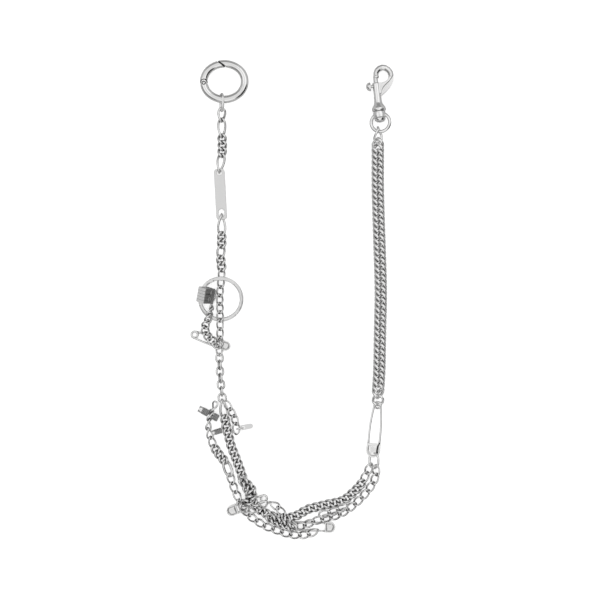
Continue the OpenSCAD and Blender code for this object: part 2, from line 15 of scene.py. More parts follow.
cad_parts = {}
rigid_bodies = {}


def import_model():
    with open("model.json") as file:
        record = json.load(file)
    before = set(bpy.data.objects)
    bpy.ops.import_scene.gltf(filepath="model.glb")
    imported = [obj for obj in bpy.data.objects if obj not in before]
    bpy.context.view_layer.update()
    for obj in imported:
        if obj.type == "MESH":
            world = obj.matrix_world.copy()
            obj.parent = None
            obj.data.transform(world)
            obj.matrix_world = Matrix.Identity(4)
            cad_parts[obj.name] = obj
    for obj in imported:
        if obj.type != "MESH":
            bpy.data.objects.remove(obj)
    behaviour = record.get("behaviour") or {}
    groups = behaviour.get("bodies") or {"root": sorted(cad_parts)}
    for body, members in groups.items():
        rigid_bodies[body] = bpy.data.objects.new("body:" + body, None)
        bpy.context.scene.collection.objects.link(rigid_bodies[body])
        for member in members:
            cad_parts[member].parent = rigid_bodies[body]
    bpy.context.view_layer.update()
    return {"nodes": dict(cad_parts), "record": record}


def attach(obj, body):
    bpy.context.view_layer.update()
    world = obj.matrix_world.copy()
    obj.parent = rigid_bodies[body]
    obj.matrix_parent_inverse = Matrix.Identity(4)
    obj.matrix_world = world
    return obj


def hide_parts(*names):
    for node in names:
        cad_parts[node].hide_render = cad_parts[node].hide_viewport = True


MM = 0.001
for leftover in list(bpy.data.objects):
    bpy.data.objects.remove(leftover)
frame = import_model()

# %% [markdown]
# ## Helpers
# An operator acts on whatever is selected, so each piece is first selected by itself. Lengths are
# written in millimetres and turned to metres at the last moment. A modifier is given its settings
# and applied at once, so that every finished piece is a plain mesh.

# %% Selecting, placing and turning
def alone(*objects):
    """Selects these objects and nothing else."""
    bpy.ops.object.select_all(action="DESELECT")
    for one in objects:
        one.select_set(True)
    bpy.context.view_layer.objects.active = objects[0]


def join(*objects):
    """Joins the objects to one, which is the first of them."""
    alone(*objects)
    if len(objects) > 1:
        bpy.ops.object.join()
    return bpy.context.object


def turned_to(x, y, z):
    """The turns of an OpenSCAD rotate([x, y, z]) as one matrix."""
    return (Matrix.Rotation(math.radians(z), 4, "Z") @ Matrix.Rotation(math.radians(y), 4, "Y")
            @ Matrix.Rotation(math.radians(x), 4, "X"))


def at(x, y, z):
    """A shift in millimetres."""
    return Matrix.Translation(Vector((x, y, z)) * MM)


# %% Merging points and applying modifiers
def merge_points(piece, apart, outward=True):
    """Merges points closer than so many millimetres, and turns the faces outwards if asked."""
    alone(piece)
    bpy.ops.object.mode_set(mode="EDIT")
    bpy.ops.mesh.select_all(action="SELECT")
    bpy.ops.mesh.remove_doubles(threshold=apart * MM)
    if outward:
        bpy.ops.mesh.normals_make_consistent(inside=False)
    bpy.ops.object.mode_set(mode="OBJECT")


def shape_with(piece, kind, **settings):
    """Gives the piece a modifier with these settings and applies it."""
    alone(piece)
    modifier = piece.modifiers.new(kind.lower(), kind)
    for key, value in settings.items():
        setattr(modifier, key, value)
    bpy.ops.object.modifier_apply(modifier=modifier.name)


def round_edges(piece, width, segments, sharper_than):
    """Bevels the edges that bend by more than an angle in degrees. The width is in millimetres."""
    shape_with(piece, "BEVEL", width=width * MM, segments=segments, limit_method="ANGLE",
               angle_limit=math.radians(sharper_than))


def smooth_up_to(degrees):
    """Shades the selected piece smooth, except at edges that bend by more than an angle."""
    bpy.ops.object.shade_smooth_by_angle(angle=math.radians(degrees))


def keep_flats_flat(piece):
    """Turns the normals of a smooth-shaded piece to its large faces, so that its flats look flat."""
    shape_with(piece, "WEIGHTED_NORMAL", keep_sharp=True)


# %% Putting a piece on the model
def put_on(piece, body, slot, material, *nodes):
    """The piece rides on a body, has a material, and stands for the CAD nodes named. The slot is not used."""
    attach(piece, body)
    piece.data.materials.clear()
    piece.data.materials.append(material)
    if nodes:
        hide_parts(*nodes)
    print(piece.name, "faces:", len(piece.data.polygons))


# %% [markdown]
# ## Camera, floor and light
# The chain is photographed from straight above on plain white. The camera hangs 1.5 m up with a
# long lens, so that nothing bulges towards the picture's edge. Polished metal shows only what it
# mirrors, so the light matters as much as the finish: a bright ceiling, a greyer band above the
# horizon and the table together give each wire a light back, two grey flanks and a light rim.
# Three dark patches in the sky are the dark corners of the studio. Where the round parts of the
# ring and the hook mirror them, they show as dark crescents.

# %% Camera
CAMERA_HEIGHT = 1.5
MIDDLE_OF_VIEW = (5.17 * MM, -0.27 * MM)
VIEW_WIDTH = 0.408
bpy.ops.object.camera_add(location=(*MIDDLE_OF_VIEW, CAMERA_HEIGHT), rotation=(0, 0, 0))
camera = bpy.context.object
camera.data.sensor_width = 36
camera.data.lens = camera.data.sensor_width * CAMERA_HEIGHT / VIEW_WIDTH
bpy.context.scene.camera = camera
bpy.context.scene.view_settings.view_transform = "Standard"
print("camera lens:", round(camera.data.lens, 1), "mm")


# %% Short ways to add and set shader nodes
def nodes_of(tree):
    """A short way to add shader nodes to a tree."""
    def add(kind, **values):
        made = tree.nodes.new(kind)
        for key, value in values.items():
            setattr(made, key, value)
        return made
    return add


def from_to(node, start, end, to_start=0.0, to_end=1.0):
    """Sets a Map Range node: values from start to end come out from to_start to to_end."""
    node.inputs["From Min"].default_value = start
    node.inputs["From Max"].default_value = end
    node.inputs["To Min"].default_value = to_start
    node.inputs["To Max"].default_value = to_end


def grey(level):
    """A neutral colour."""
    return (level, level, level, 1)


# %% [markdown]
# The floor looks plain white to the camera, because it glows a little. To everything else it is
# light grey, which is what the undersides of the wires mirror.

# %% Floor
WHITE_TO_CAMERA = 0.92
GREY_TO_METAL = 0.72
bpy.ops.mesh.primitive_plane_add(size=6, location=(0, 0, -0.02 * MM))
floor = bpy.context.object
floor.name = "floor"
floor_paint = bpy.data.materials.new("floor_paint")
floor_paint.use_nodes = True
floor_shader = floor_paint.node_tree.nodes["Principled BSDF"]
floor_shader.inputs["Base Color"].default_value = grey(WHITE_TO_CAMERA)
floor_shader.inputs["Roughness"].default_value = 0.9
floor_shader.inputs["Emission Color"].default_value = grey(1)
floor_shader.inputs["Emission Strength"].default_value = 0.65
add = nodes_of(floor_paint.node_tree)
greyer = add("ShaderNodeBsdfDiffuse")
greyer.inputs["Color"].default_value = grey(GREY_TO_METAL)
seen = add("ShaderNodeLightPath")
either = add("ShaderNodeMixShader")
floor_out = floor_paint.node_tree.nodes["Material Output"]
links = floor_paint.node_tree.links
links.new(seen.outputs["Is Camera Ray"], either.inputs[0])
links.new(greyer.outputs[0], either.inputs[1])
links.new(floor_shader.outputs[0], either.inputs[2])
links.new(either.outputs[0], floor_out.inputs["Surface"])
floor.data.materials.append(floor_paint)
print("floor:", round(floor.dimensions.x, 1), "m wide")

# %% Sky dome
world = bpy.data.worlds.new("studio")
bpy.context.scene.world = world
world.use_nodes = True
sky = world.node_tree
sky.nodes.clear()
add = nodes_of(sky)
where = add("ShaderNodeTexCoord")
split = add("ShaderNodeSeparateXYZ")
bands = add("ShaderNodeValToRGB")
shade = add("ShaderNodeBackground")
plain = add("ShaderNodeBackground")
rays = add("ShaderNodeLightPath")
mixed = add("ShaderNodeMixShader")
out = add("ShaderNodeOutputWorld")
for height, level in ((0.10, 0.50), (0.35, 0.46), (0.60, 0.68), (0.80, 0.86)):
    stop = bands.color_ramp.elements.new(height)
    stop.color = grey(level)
bands.color_ramp.elements[0].color = grey(0.58)
bands.color_ramp.elements[-1].color = grey(0.80)
shade.inputs["Strength"].default_value = 1.0
plain.inputs["Color"].default_value = grey(0.93)
sky.links.new(where.outputs["Generated"], split.inputs[0])
sky.links.new(split.outputs["Z"], bands.inputs[0])
print("sky bands at heights:", [round(stop.position, 2) for stop in bands.color_ramp.elements])

# %% Dark patches in the sky
# Each patch: the direction of its middle round and up in degrees, the share of light left in it,
# and the cosine at which its soft edge starts.
DARK_PATCHES = ((-28, 24, 0.04, 0.85), (100, 16, 0.6, 0.80), (215, 14, 0.45, 0.80))
SOFT_EDGE = 0.07
tone = bands.outputs[0]
for around, up, left, edge in DARK_PATCHES:
    flat = math.cos(math.radians(up))
    middle = (flat * math.cos(math.radians(around)), flat * math.sin(math.radians(around)),
              math.sin(math.radians(up)))
    toward = add("ShaderNodeVectorMath", operation="DOT_PRODUCT")
    toward.inputs[1].default_value = middle
    patch = add("ShaderNodeMapRange", interpolation_type="SMOOTHSTEP")
    from_to(patch, edge, edge + SOFT_EDGE, 1.0, left)
    darker = add("ShaderNodeVectorMath", operation="MULTIPLY")
    sky.links.new(where.outputs["Generated"], toward.inputs[0])
    sky.links.new(toward.outputs["Value"], patch.inputs["Value"])
    sky.links.new(tone, darker.inputs[0])
    sky.links.new(patch.outputs[0], darker.inputs[1])
    tone = darker.outputs[0]
sky.links.new(tone, shade.inputs["Color"])
sky.links.new(rays.outputs["Is Camera Ray"], mixed.inputs[0])
sky.links.new(shade.outputs[0], mixed.inputs[1])
sky.links.new(plain.outputs[0], mixed.inputs[2])
sky.links.new(mixed.outputs[0], out.inputs[0])
print("dark patches:", len(DARK_PATCHES))

# %% Soft lamps
# Each lamp: its place in metres and its power in watts.
LAMPS = (((0.5, 0.5, 0.9), 0.5), ((-0.7, 0.1, 0.8), 0.4), ((0.1, -0.8, 0.9), 0.4))
LAMP_SIZE = 0.8
for place, power in LAMPS:
    bpy.ops.object.light_add(type="AREA", location=place)
    lamp = bpy.context.object
    lamp.data.size = LAMP_SIZE
    lamp.data.energy = power
    lamp.rotation_euler = (-Vector(place)).to_track_quat("-Z", "Y").to_euler()

# %% [markdown]
# ## Finishes
# All the metal is silver plate, but it doesn't look alike. Fingers and cloth keep the high spots
# bright, while the hollows where the links rub turn dark with tarnish; the same darkening of the
# hollows also paints the shade that falls between the links. Two effects are shared by all the
# finishes, so each is a node group: tarnish and painted shade, which finds the hollows, and
# handling marks, which are faint waves and fine scratches that break up the reflections.

# %% Shared effect: tarnish and painted shade in the hollows
def group_with(name, inputs, outputs):
    """A new group of shader nodes. Its inputs are numbers with their usual values."""
    tree = bpy.data.node_groups.new(name, "ShaderNodeTree")
    for label, value in inputs.items():
        socket = tree.interface.new_socket(name=label, in_out="INPUT", socket_type="NodeSocketFloat")
        socket.default_value = value
    for label in outputs:
        tree.interface.new_socket(name=label, in_out="OUTPUT", socket_type="NodeSocketFloat")
    return tree


tarnish = group_with("tarnish_in_hollows", {"Reach": 1.2 * MM, "Amount": 1.0, "Patches": 260.0}, ["Mask"])
add = nodes_of(tarnish)
ins = add("NodeGroupInput")
outs = add("NodeGroupOutput")
# Ambient occlusion finds the hollows. The mask darkens them for tarnish, and also paints the shade that falls
# between the parts.
hollow = add("ShaderNodeAmbientOcclusion", samples=6, only_local=True)
spots = add("ShaderNodeTexNoise")
coords = add("ShaderNodeTexCoord")
depth = add("ShaderNodeMapRange", interpolation_type="SMOOTHSTEP")
from_to(depth, 0.97, 0.40)
uneven = add("ShaderNodeMapRange")
from_to(uneven, 0.3, 0.7, 0.55, 1.15)
product = add("ShaderNodeMath", operation="MULTIPLY")
scaled = add("ShaderNodeMath", operation="MULTIPLY", use_clamp=True)
tarnish.links.new(ins.outputs["Reach"], hollow.inputs["Distance"])
tarnish.links.new(ins.outputs["Patches"], spots.inputs["Scale"])
tarnish.links.new(coords.outputs["Object"], spots.inputs["Vector"])
tarnish.links.new(hollow.outputs["AO"], depth.inputs["Value"])
tarnish.links.new(spots.outputs["Fac"], uneven.inputs["Value"])
tarnish.links.new(depth.outputs[0], product.inputs[0])
tarnish.links.new(uneven.outputs[0], product.inputs[1])
tarnish.links.new(product.outputs[0], scaled.inputs[0])
tarnish.links.new(ins.outputs["Amount"], scaled.inputs[1])
tarnish.links.new(scaled.outputs[0], outs.inputs["Mask"])
print("group:", tarnish.name)

# %% Shared effect: handling marks
marks = group_with(
    "handling_marks", {"Waves": 300.0, "Scratches": 1500.0, "Stretch": 12.0}, ["Height", "Wear"])
add = nodes_of(marks)
ins = add("NodeGroupInput")
outs = add("NodeGroupOutput")
coords = add("ShaderNodeTexCoord")
waves = add("ShaderNodeTexNoise")
stretch = add("ShaderNodeCombineXYZ")
stretch.inputs["Y"].default_value = 1.0
stretch.inputs["Z"].default_value = 1.0
drawn = add("ShaderNodeVectorMath", operation="MULTIPLY")
lines = add("ShaderNodeTexNoise")
lines.inputs["Detail"].default_value = 4.0
sunk = add("ShaderNodeMapRange")
from_to(sunk, 0.55, 0.75, 0.0, -0.35)
both = add("ShaderNodeMath", operation="ADD")
marks.links.new(coords.outputs["Object"], waves.inputs["Vector"])
marks.links.new(ins.outputs["Waves"], waves.inputs["Scale"])
marks.links.new(ins.outputs["Stretch"], stretch.inputs["X"])
marks.links.new(coords.outputs["Object"], drawn.inputs[0])
marks.links.new(stretch.outputs[0], drawn.inputs[1])
marks.links.new(drawn.outputs[0], lines.inputs["Vector"])
marks.links.new(ins.outputs["Scratches"], lines.inputs["Scale"])
marks.links.new(lines.outputs["Fac"], sunk.inputs["Value"])
marks.links.new(waves.outputs["Fac"], both.inputs[0])
marks.links.new(sunk.outputs[0], both.inputs[1])
marks.links.new(both.outputs[0], outs.inputs["Height"])
marks.links.new(waves.outputs["Fac"], outs.inputs["Wear"])
print("group:", marks.name)

# %% [markdown]
# One function makes every silver finish. It takes the greys of the bright high spots and the dark
# hollows, where tarnish and painted shade go, the roughness, how many millimetres the tarnish and
# painted shade reach and how strong they are, the scales of waves and scratches, how far the
# scratches are stretched, and the strength of the bumps.

# %% One function for every silver finish
CLEAN_TINT = (1.0, 0.998, 0.994)
TARNISH_AND_SHADE_TINT = (1.0, 0.98, 0.96)
MARK_DEPTH = 0.05
ROUGHER_WHERE_DARK = 0.25


def silver(name, bright, dark, rough, reach, amount, waves, scratches, stretch, bump):
    """A metal whose high spots are bright and whose hollows are darkened by tarnish and painted shade, with
    handling marks.
    """
    paint = bpy.data.materials.new(name)
    paint.use_nodes = True
    tree = paint.node_tree
    shader = tree.nodes["Principled BSDF"]
    shader.inputs["Metallic"].default_value = 1.0
    add = nodes_of(tree)
    hollows = add("ShaderNodeGroup", node_tree=tarnish)
    hollows.inputs["Reach"].default_value = reach * MM
    hollows.inputs["Amount"].default_value = amount
    handled = add("ShaderNodeGroup", node_tree=marks)
    handled.inputs["Waves"].default_value = waves
    handled.inputs["Scratches"].default_value = scratches
    handled.inputs["Stretch"].default_value = stretch
    # In a Mix node for colours, inputs 6 and 7 are the two colours and output 2 is the result.
    tint = add("ShaderNodeMix", data_type="RGBA")
    tint.inputs[6].default_value = (*[bright * c for c in CLEAN_TINT], 1)
    tint.inputs[7].default_value = (*[dark * c for c in TARNISH_AND_SHADE_TINT], 1)
    worn = add("ShaderNodeMapRange")
    from_to(worn, 0.0, 1.0, rough * 0.75, rough * 1.3)
    duller = add("ShaderNodeMath", operation="MULTIPLY_ADD")
    duller.inputs[1].default_value = ROUGHER_WHERE_DARK
    bumped = add("ShaderNodeBump")
    bumped.inputs["Strength"].default_value = bump
    bumped.inputs["Distance"].default_value = MARK_DEPTH * MM
    # The mask darkens the hollows with tarnish and with painted shade.
    tree.links.new(hollows.outputs["Mask"], tint.inputs[0])
    tree.links.new(tint.outputs[2], shader.inputs["Base Color"])
    tree.links.new(handled.outputs["Wear"], worn.inputs["Value"])
    tree.links.new(hollows.outputs["Mask"], duller.inputs[0])
    tree.links.new(worn.outputs[0], duller.inputs[2])
    tree.links.new(duller.outputs[0], shader.inputs["Roughness"])
    tree.links.new(handled.outputs["Height"], bumped.inputs["Height"])
    tree.links.new(bumped.outputs[0], shader.inputs["Normal"])
    return paint


# %% The finishes
# The chain's hollows go nearly black: mostly painted shade between the links, with some tarnish.
chain_silver = silver("chain_silver_finish", bright=0.88, dark=0.05, rough=0.20, reach=2.4, amount=1.0,
                      waves=320, scratches=500, stretch=4, bump=0.10)
curb_silver = silver("curb_silver_finish", bright=0.97, dark=0.28, rough=0.20, reach=1.4, amount=0.6,
                     waves=320, scratches=500, stretch=4, bump=0.08)
cast_silver = silver("cast_silver_finish", bright=0.86, dark=0.22, rough=0.09, reach=1.6, amount=0.5,
                     waves=90, scratches=400, stretch=4, bump=0.05)
plate_silver = silver("plate_silver_finish", bright=0.80, dark=0.12, rough=0.34, reach=1.0, amount=0.6,
                      waves=60, scratches=260, stretch=12, bump=0.05)
pin_silver = silver("pin_silver_finish", bright=0.88, dark=0.10, rough=0.16, reach=1.6, amount=0.8,
                    waves=120, scratches=400, stretch=4, bump=0.05)
# The lock's shaded side: a dark copy of the silver, painted shade.
dark_silver = silver("lock_shaded_side_finish", bright=0.40, dark=0.05, rough=0.36, reach=1.2, amount=1.0,
                     waves=300, scratches=700, stretch=3, bump=0.15)
# Black, for the painted shade in the ring's gap, round its rivet and in the pin's slot.
painted_gap_shade = silver("painted_gap_shade_finish", bright=0.05, dark=0.02, rough=0.5, reach=1.0, amount=1.0,
                   waves=300, scratches=700, stretch=3, bump=0.1)
knurled_silver = silver("knurled_silver_finish", bright=0.46, dark=0.03, rough=0.30, reach=1.0, amount=1.0,
                        waves=300, scratches=700, stretch=3, bump=0.10)
lock_lit_side_silver = silver("lock_lit_side_finish", bright=0.92, dark=0.12, rough=0.42, reach=0.8, amount=0.6,
                     waves=200, scratches=500, stretch=3, bump=0.10)
# On the edges of the lock's plates this lighter finish mirrors less than the rest, and paints the lit side of
# the lock.
lock_lit_side_silver.node_tree.nodes["Principled BSDF"].inputs["Metallic"].default_value = 0.3
print("finishes:", [paint.name for paint in bpy.data.materials if paint.name.endswith("_finish")])

# %% [markdown]
# ## Bent wire
# A link is a piece of round wire bent to a loop and soldered shut. The quickest way to such a tube
# by hand is a curve with a round bevel, turned into a mesh once it has its shape.

# %% Bend a wire
def bend_wire(name, points, wire, closed, roundness=3, thickness=None):
    """A tube of round wire along the points, all in millimetres. Thickness is a share at each point."""
    line = bpy.data.curves.new(name, "CURVE")
    line.dimensions = "3D"
    line.bevel_depth = wire / 2 * MM
    line.bevel_resolution = roundness
    line.use_fill_caps = not closed
    spline = line.splines.new("POLY")
    spline.points.add(len(points) - 1)
    for knot, p in zip(spline.points, points):
        knot.co = (*[v * MM for v in p], 1)
    for knot, share in zip(spline.points, thickness or []):
        knot.radius = share
    spline.use_cyclic_u = closed
    tube = bpy.data.objects.new(name, line)
    bpy.context.scene.collection.objects.link(tube)
    alone(tube)
    bpy.ops.object.convert(target="MESH")
    tube = bpy.context.object
    merge_points(tube, 0.001)
    bpy.ops.object.shade_smooth()
    return tube


# %% [markdown]
# ## One link of each kind
# A curb link is an oval whose two ends are turned in opposite senses, which lets the chain lie
# flat. Each kind has its own length, width, wire and turn. It is bent once, and all the links of
# that kind are copies of it. A few strands are twisted the other way, so each kind has two hands.

# %% The middle line of a link
def link_line(length, width, wire, turn, fullness, stations=24):
    """The middle line of a link along X, its ends turned about X in opposite senses.

    A fullness of 1 gives an ellipse, and a smaller one straighter sides and blunter ends.
    """
    half_length, half_width = (length - wire) / 2, (width - wire) / 2
    line = []
    for i in range(stations):
        t = 2 * math.pi * (i + 0.5) / stations
        along = math.copysign(abs(math.cos(t)) ** fullness, math.cos(t))
        aside = math.copysign(abs(math.sin(t)) ** fullness, math.sin(t)) * half_width
        roll = math.radians(turn) * along
        line.append((half_length * along, aside * math.cos(roll), aside * math.sin(roll)))
    return line


# %% The kinds of link
# Each kind: length, width and wire in millimetres, and the turn of its ends in degrees.
KINDS = {
    "small": (7.8, 6.6, 1.55, 55), "open": (9.1, 5.8, 1.1, 55), "fine": (8.58, 5.3, 1.1, 55),
    "medium": (10.6, 6.3, 1.4, 55), "long": (14.2, 6.3, 1.4, 55), "longer": (15.5, 6.6, 1.4, 55),
    "clip": (12.7, 6.6, 1.6, 55), "double": (11.4, 8.7, 1.75, 75), "side": (7.6, 6.3, 1.2, 55),
    "jump": (8.2, 8.6, 1.6, 50), "coupling": (11.2, 7.6, 1.4, 50),
}
# The CAD links are kept clear of one another. Real ones touch, so their wire is a little thicker.
THICKER = 1.16


def fullness_of(kind):
    """The clip has nearly straight bars, and short links are rounder than long ones."""
    if kind == "clip":
        return 0.55
    return 0.8 if KINDS[kind][0] > 8 else 0.9


templates = {}
for kind, (length, width, wire, turn) in KINDS.items():
    for hand, side in (("", 1), ("_left", -1)):
        line = link_line(length, width, wire, side * turn, fullness_of(kind))
        templates[kind + hand] = bend_wire("link_" + kind + hand, line, wire * THICKER, closed=True)
print("faces in one link:", len(templates["small"].data.polygons))


# %% Flat links with straight sides
def flat_line(length, width, wire, stations=24):
    """A flat link's middle line: two half circles joined by straight sides."""
    r, straight = (width - wire) / 2, (length - width) / 2
    line = []
    for i in range(stations):
        t = 2 * math.pi * (i + 0.5) / stations
        line.append((r * math.cos(t) + math.copysign(straight, math.cos(t)), r * math.sin(t), 0))
    return line


FLAT_KINDS = {
    "cable": (7.5, 6.5, 1.4), "first": (13.2, 9, 1.5), "joint": (11.8, 9.4, 1.6), "tag": (5.5, 5.5, 0.9),
}
for kind, (length, width, wire) in FLAT_KINDS.items():
    templates[kind] = bend_wire("link_" + kind, flat_line(length, width, wire), wire, closed=True)
    KINDS[kind] = (length, width, wire, 0)
print("kinds of link:", len(KINDS), "templates:", len(templates))


# %% [markdown]
# ## Measure the CAD links and hang the new ones
# A copy of each CAD strand is merged and split into its loose links. The middle of a link and its
# three main directions come from how its points are spread: longest along the link, then across
# it. The link looks the same when it is turned half round about any of the three, so it doesn't
# matter which way the directions point, as long as they are right-handed. The thicker and more
# sharply turned links would reach a little under the table, so those are lifted onto it.

# %% Copy and measure
def merged_copy(node, name):
    """A copy of a CAD node as a piece of its own, its loose triangles merged to whole surfaces."""
    piece = frame["nodes"][node].copy()
    piece.data = piece.data.copy()
    piece.parent = None
    piece.name = name
    bpy.context.scene.collection.objects.link(piece)
    merge_points(piece, 0.002, outward=False)
    return piece


def loose_links(node):
    """The middle, the directions and the size of every loose link of a CAD node."""
    merged_copy(node, node + "_measured")
    bpy.ops.object.mode_set(mode="EDIT")
    bpy.ops.mesh.separate(type="LOOSE")
    bpy.ops.object.mode_set(mode="OBJECT")
    found = []
    for part in list(bpy.context.selected_objects):
        points = np.array([v.co for v in part.data.vertices])
        middle = points.mean(0)
        directions = np.linalg.eigh(np.cov((points - middle).T))[1]
        axes = directions[:, ::-1]
        if np.linalg.det(axes) < 0:
            axes[:, 2] *= -1
        local = (points - middle) @ axes
        found.append((middle, axes, (local.max(0) - local.min(0)) / MM))
        bpy.data.objects.remove(part)
    return found


def nearest_kind(size, kinds):
    """The kind whose length and width are closest to what was measured."""
    return min(kinds, key=lambda k: abs(KINDS[k][0] - size[0]) + abs(KINDS[k][1] - size[1]))


# %% The strands, and the kinds of link in each
STRANDS = {
    "upper_links": ["medium", "long", "small"], "lower_links": ["longer", "small", "medium", "fine"],
    "side_chain": ["open", "side"], "cable_chain": ["cable"], "left_strand": ["open", "small", "clip"],
    "loop_strand": ["open"], "right_branch": ["fine", "open"], "main_curb": ["long", "small", "open"],
    "middle_strand": ["open"], "outer_strand": ["open"], "curb_chain": ["double"],
    "curb_jump_ring": ["jump"], "coupling_link": ["coupling"], "first_link": ["first"],
    "joint_ring": ["joint"], "tag_ring": ["tag"],
}
LEFT_HANDED = ("upper_links", "curb_chain", "curb_jump_ring")
BRIGHTER = ("curb_chain", "curb_jump_ring", "coupling_link", "first_link", "joint_ring", "tag_ring")
lifted = []


# %% Hang every strand
def place_copy(kind, place):
    """A copy of the link of a kind, with its own mesh moved to its place."""
    link = templates[kind].copy()
    link.data = templates[kind].data.copy()
    link.data.transform(place)
    bpy.context.scene.collection.objects.link(link)
    return link


def hang_links(node, *kinds):
    """A copy of the right kind of link for every loose link of the node, joined to one piece."""
    hand = "_left" if node in LEFT_HANDED else ""
    copies = []
    for middle, axes, size in loose_links(node):
        place = Matrix.Translation(Vector(middle)) @ Matrix(axes.tolist()).to_4x4()
        link = place_copy(nearest_kind(size, kinds) + hand, place)
        lowest = min(v.co.z for v in link.data.vertices)
        if lowest < 0:
            link.data.transform(Matrix.Translation((0, 0, -lowest)))
            lifted.append(-lowest / MM)
        copies.append(link)
    piece = join(*copies)
    piece.name = node + "_wire"
    put_on(piece, "chain", "chain", curb_silver if node in BRIGHTER else chain_silver, node)
    return len(copies)


hung = {node: hang_links(node, *kinds) for node, kinds in STRANDS.items()}
print("links hung:", sum(hung.values()))
print("links lifted onto the table:", len(lifted), "by at most", round(max(lifted), 2), "mm")

# %% [markdown]
# ## Loose ends on the tangle
# Where the strands meet, short ends of chain lie on the others in knots. Each follows a few points
# read off the picture, and its links are laid a pitch apart. Rays are cast down round each joint
# between two links, to find how high the pile is there. The two highest hits are left out, and each
# height is averaged with its neighbours, so that the strand follows the pile as a limp chain does
# and sinks a little between the links that it lies on.

# %% Where a picture point lies, and how high the pile is there
PICTURE_MIDDLE = (292.4, 299.6)
MM_PER_PIXEL = 0.68
OVERHEAD = 60
RAY_REACH = 1.6


def table_point(column, row):
    """The place on the table of a point of the picture, in millimetres."""
    middle_column, middle_row = PICTURE_MIDDLE
    return Vector(((column - middle_column) * MM_PER_PIXEL, (middle_row - row) * MM_PER_PIXEL, 0))


def pile_height(x, y):
    """How high the pile is round a place, in millimetres: the third highest of nine hits."""
    graph = bpy.context.evaluated_depsgraph_get()
    found = []
    for dx in (-RAY_REACH, 0, RAY_REACH):
        for dy in (-RAY_REACH, 0, RAY_REACH):
            start = Vector((x + dx, y + dy, OVERHEAD)) * MM
            down = Vector((0, 0, -1))
            hit, place = bpy.context.scene.ray_cast(graph, start, down, distance=(OVERHEAD + 10) * MM)[:2]
            found.append(place.z / MM if hit else 0)
    return sorted(found)[-3]


# %% Lay short strands
def joints_along(knots, pitch, steps=40):
    """Places at least a pitch apart along the straight lines from knot to knot."""
    joints = [knots[0].copy()]
    for here, there in zip(knots, knots[1:]):
        for k in range(steps):
            point = here.lerp(there, k / steps)
            if (point - joints[-1]).length >= pitch:
                joints.append(point)
    return joints


def lay_strand(name, kind, picture_points, roll):
    """Links of one kind along points of the picture, let down onto the pile."""
    length, _, wire, _ = KINDS[kind]
    # Two linked links overlap by a little more than two wires.
    overlap = 2.15 * wire * THICKER
    joints = joints_along([table_point(*point) for point in picture_points], length - overlap)
    half = max(v.co.z for v in templates[kind].data.vertices) / MM
    piled = [pile_height(joint.x, joint.y) for joint in joints]
    for i, joint in enumerate(joints):
        near = piled[max(i - 1, 0):i + 2]
        joint.z = (piled[i] + sum(near) / len(near)) / 2 + half
    links = []
    for start, end in zip(joints, joints[1:]):
        along = (end - start).normalized()
        across = Vector((0, 0, 1)).cross(along).normalized()
        axes = Matrix((along, across, along.cross(across))).transposed().to_4x4()
        links.append(place_copy(kind, at(*((start + end) / 2)) @ axes @ turned_to(roll, 0, 0)))
    piece = join(*links)
    piece.name = name
    put_on(piece, "chain", "chain", chain_silver)
    print(name, "rests at heights", [round(joint.z - half, 1) for joint in joints])


lay_strand("loose_end_2", "open", [(250, 510), (260, 505), (270, 502)], 10)
lay_strand(
    "loose_end_1", "small", [(241, 479), (249, 484), (254, 492), (250, 500), (242, 505), (248, 514)], 4)
lay_strand("loose_end_3", "small", [(268, 516), (278, 521), (288, 525), (299, 529)], 4)
for template in templates.values():
    bpy.data.objects.remove(template)

# %% [markdown]
# ## Smooth copies
# The split ring, the shackle, the flat tag, the padlock and the spring ring have the right shape
# in the CAD model, but their curves are faceted and their edges are razor sharp. A merged copy is
# shaded smooth by angle. Where the flat tag and the padlock have edges, they get a small bevel,
# which is what catches the light on a real piece.

# %% Smooth copy
def smooth_copy(node, edge=0.0):
    """A merged copy of a CAD node, with bevels so many millimetres wide on its sharp edges."""
    piece = merged_copy(node, node + "_cast")
    if edge:
        round_edges(piece, edge, segments=2, sharper_than=35)
    smooth_up_to(32)
    if edge:
        keep_flats_flat(piece)
    return piece


BODY_OF = {node: body for body, group in frame["record"]["behaviour"]["bodies"].items() for node in group}
for node, edge, slot, paint in (
        ("split_ring", 0.0, "pin_silver", plate_silver),
        ("padlock_shackle", 0.0, "pin_silver", pin_silver),
        ("bar_tag", 0.2, "plate_silver", plate_silver)):
    put_on(smooth_copy(node, edge), BODY_OF[node], slot, paint, node)

# %% [markdown]
# ## One skin for cast pieces
# A casting has no seams: every corner is a little round. Remeshing turns a piece, or several that
# overlap, into one skin of even little squares, and a few rounds of smoothing soften its corners.

# %% Skin
def one_skin(piece, size, rounds):
    """The piece as one even skin, its squares size millimetres wide, smoothed so many times."""
    shape_with(piece, "REMESH", mode="VOXEL", voxel_size=size * MM)
    shape_with(piece, "SMOOTH", factor=0.5, iterations=rounds)
    bpy.ops.object.shade_smooth()
    return piece


# %% Plates and cuts
def new_mesh(name, points, edges, faces):
    """An object made of points in millimetres, edges and faces."""
    shape = bpy.data.meshes.new(name)
    shape.from_pydata([[v * MM for v in p] for p in points], edges, faces)
    made = bpy.data.objects.new(name, shape)
    bpy.context.scene.collection.objects.link(made)
    alone(made)
    return made


def cut_plate(name, outline, low, high):
    """A flat plate in the plane of X and Y, from one height to another."""
    plate = new_mesh(name, [(x, y, low) for x, y in outline], [], [list(range(len(outline)))])
    bpy.ops.object.mode_set(mode="EDIT")
    bpy.ops.mesh.select_all(action="SELECT")
    bpy.ops.mesh.extrude_region_move(TRANSFORM_OT_translate={"value": (0, 0, (high - low) * MM)})
    bpy.ops.object.mode_set(mode="OBJECT")
    merge_points(plate, 0.002)
    return plate


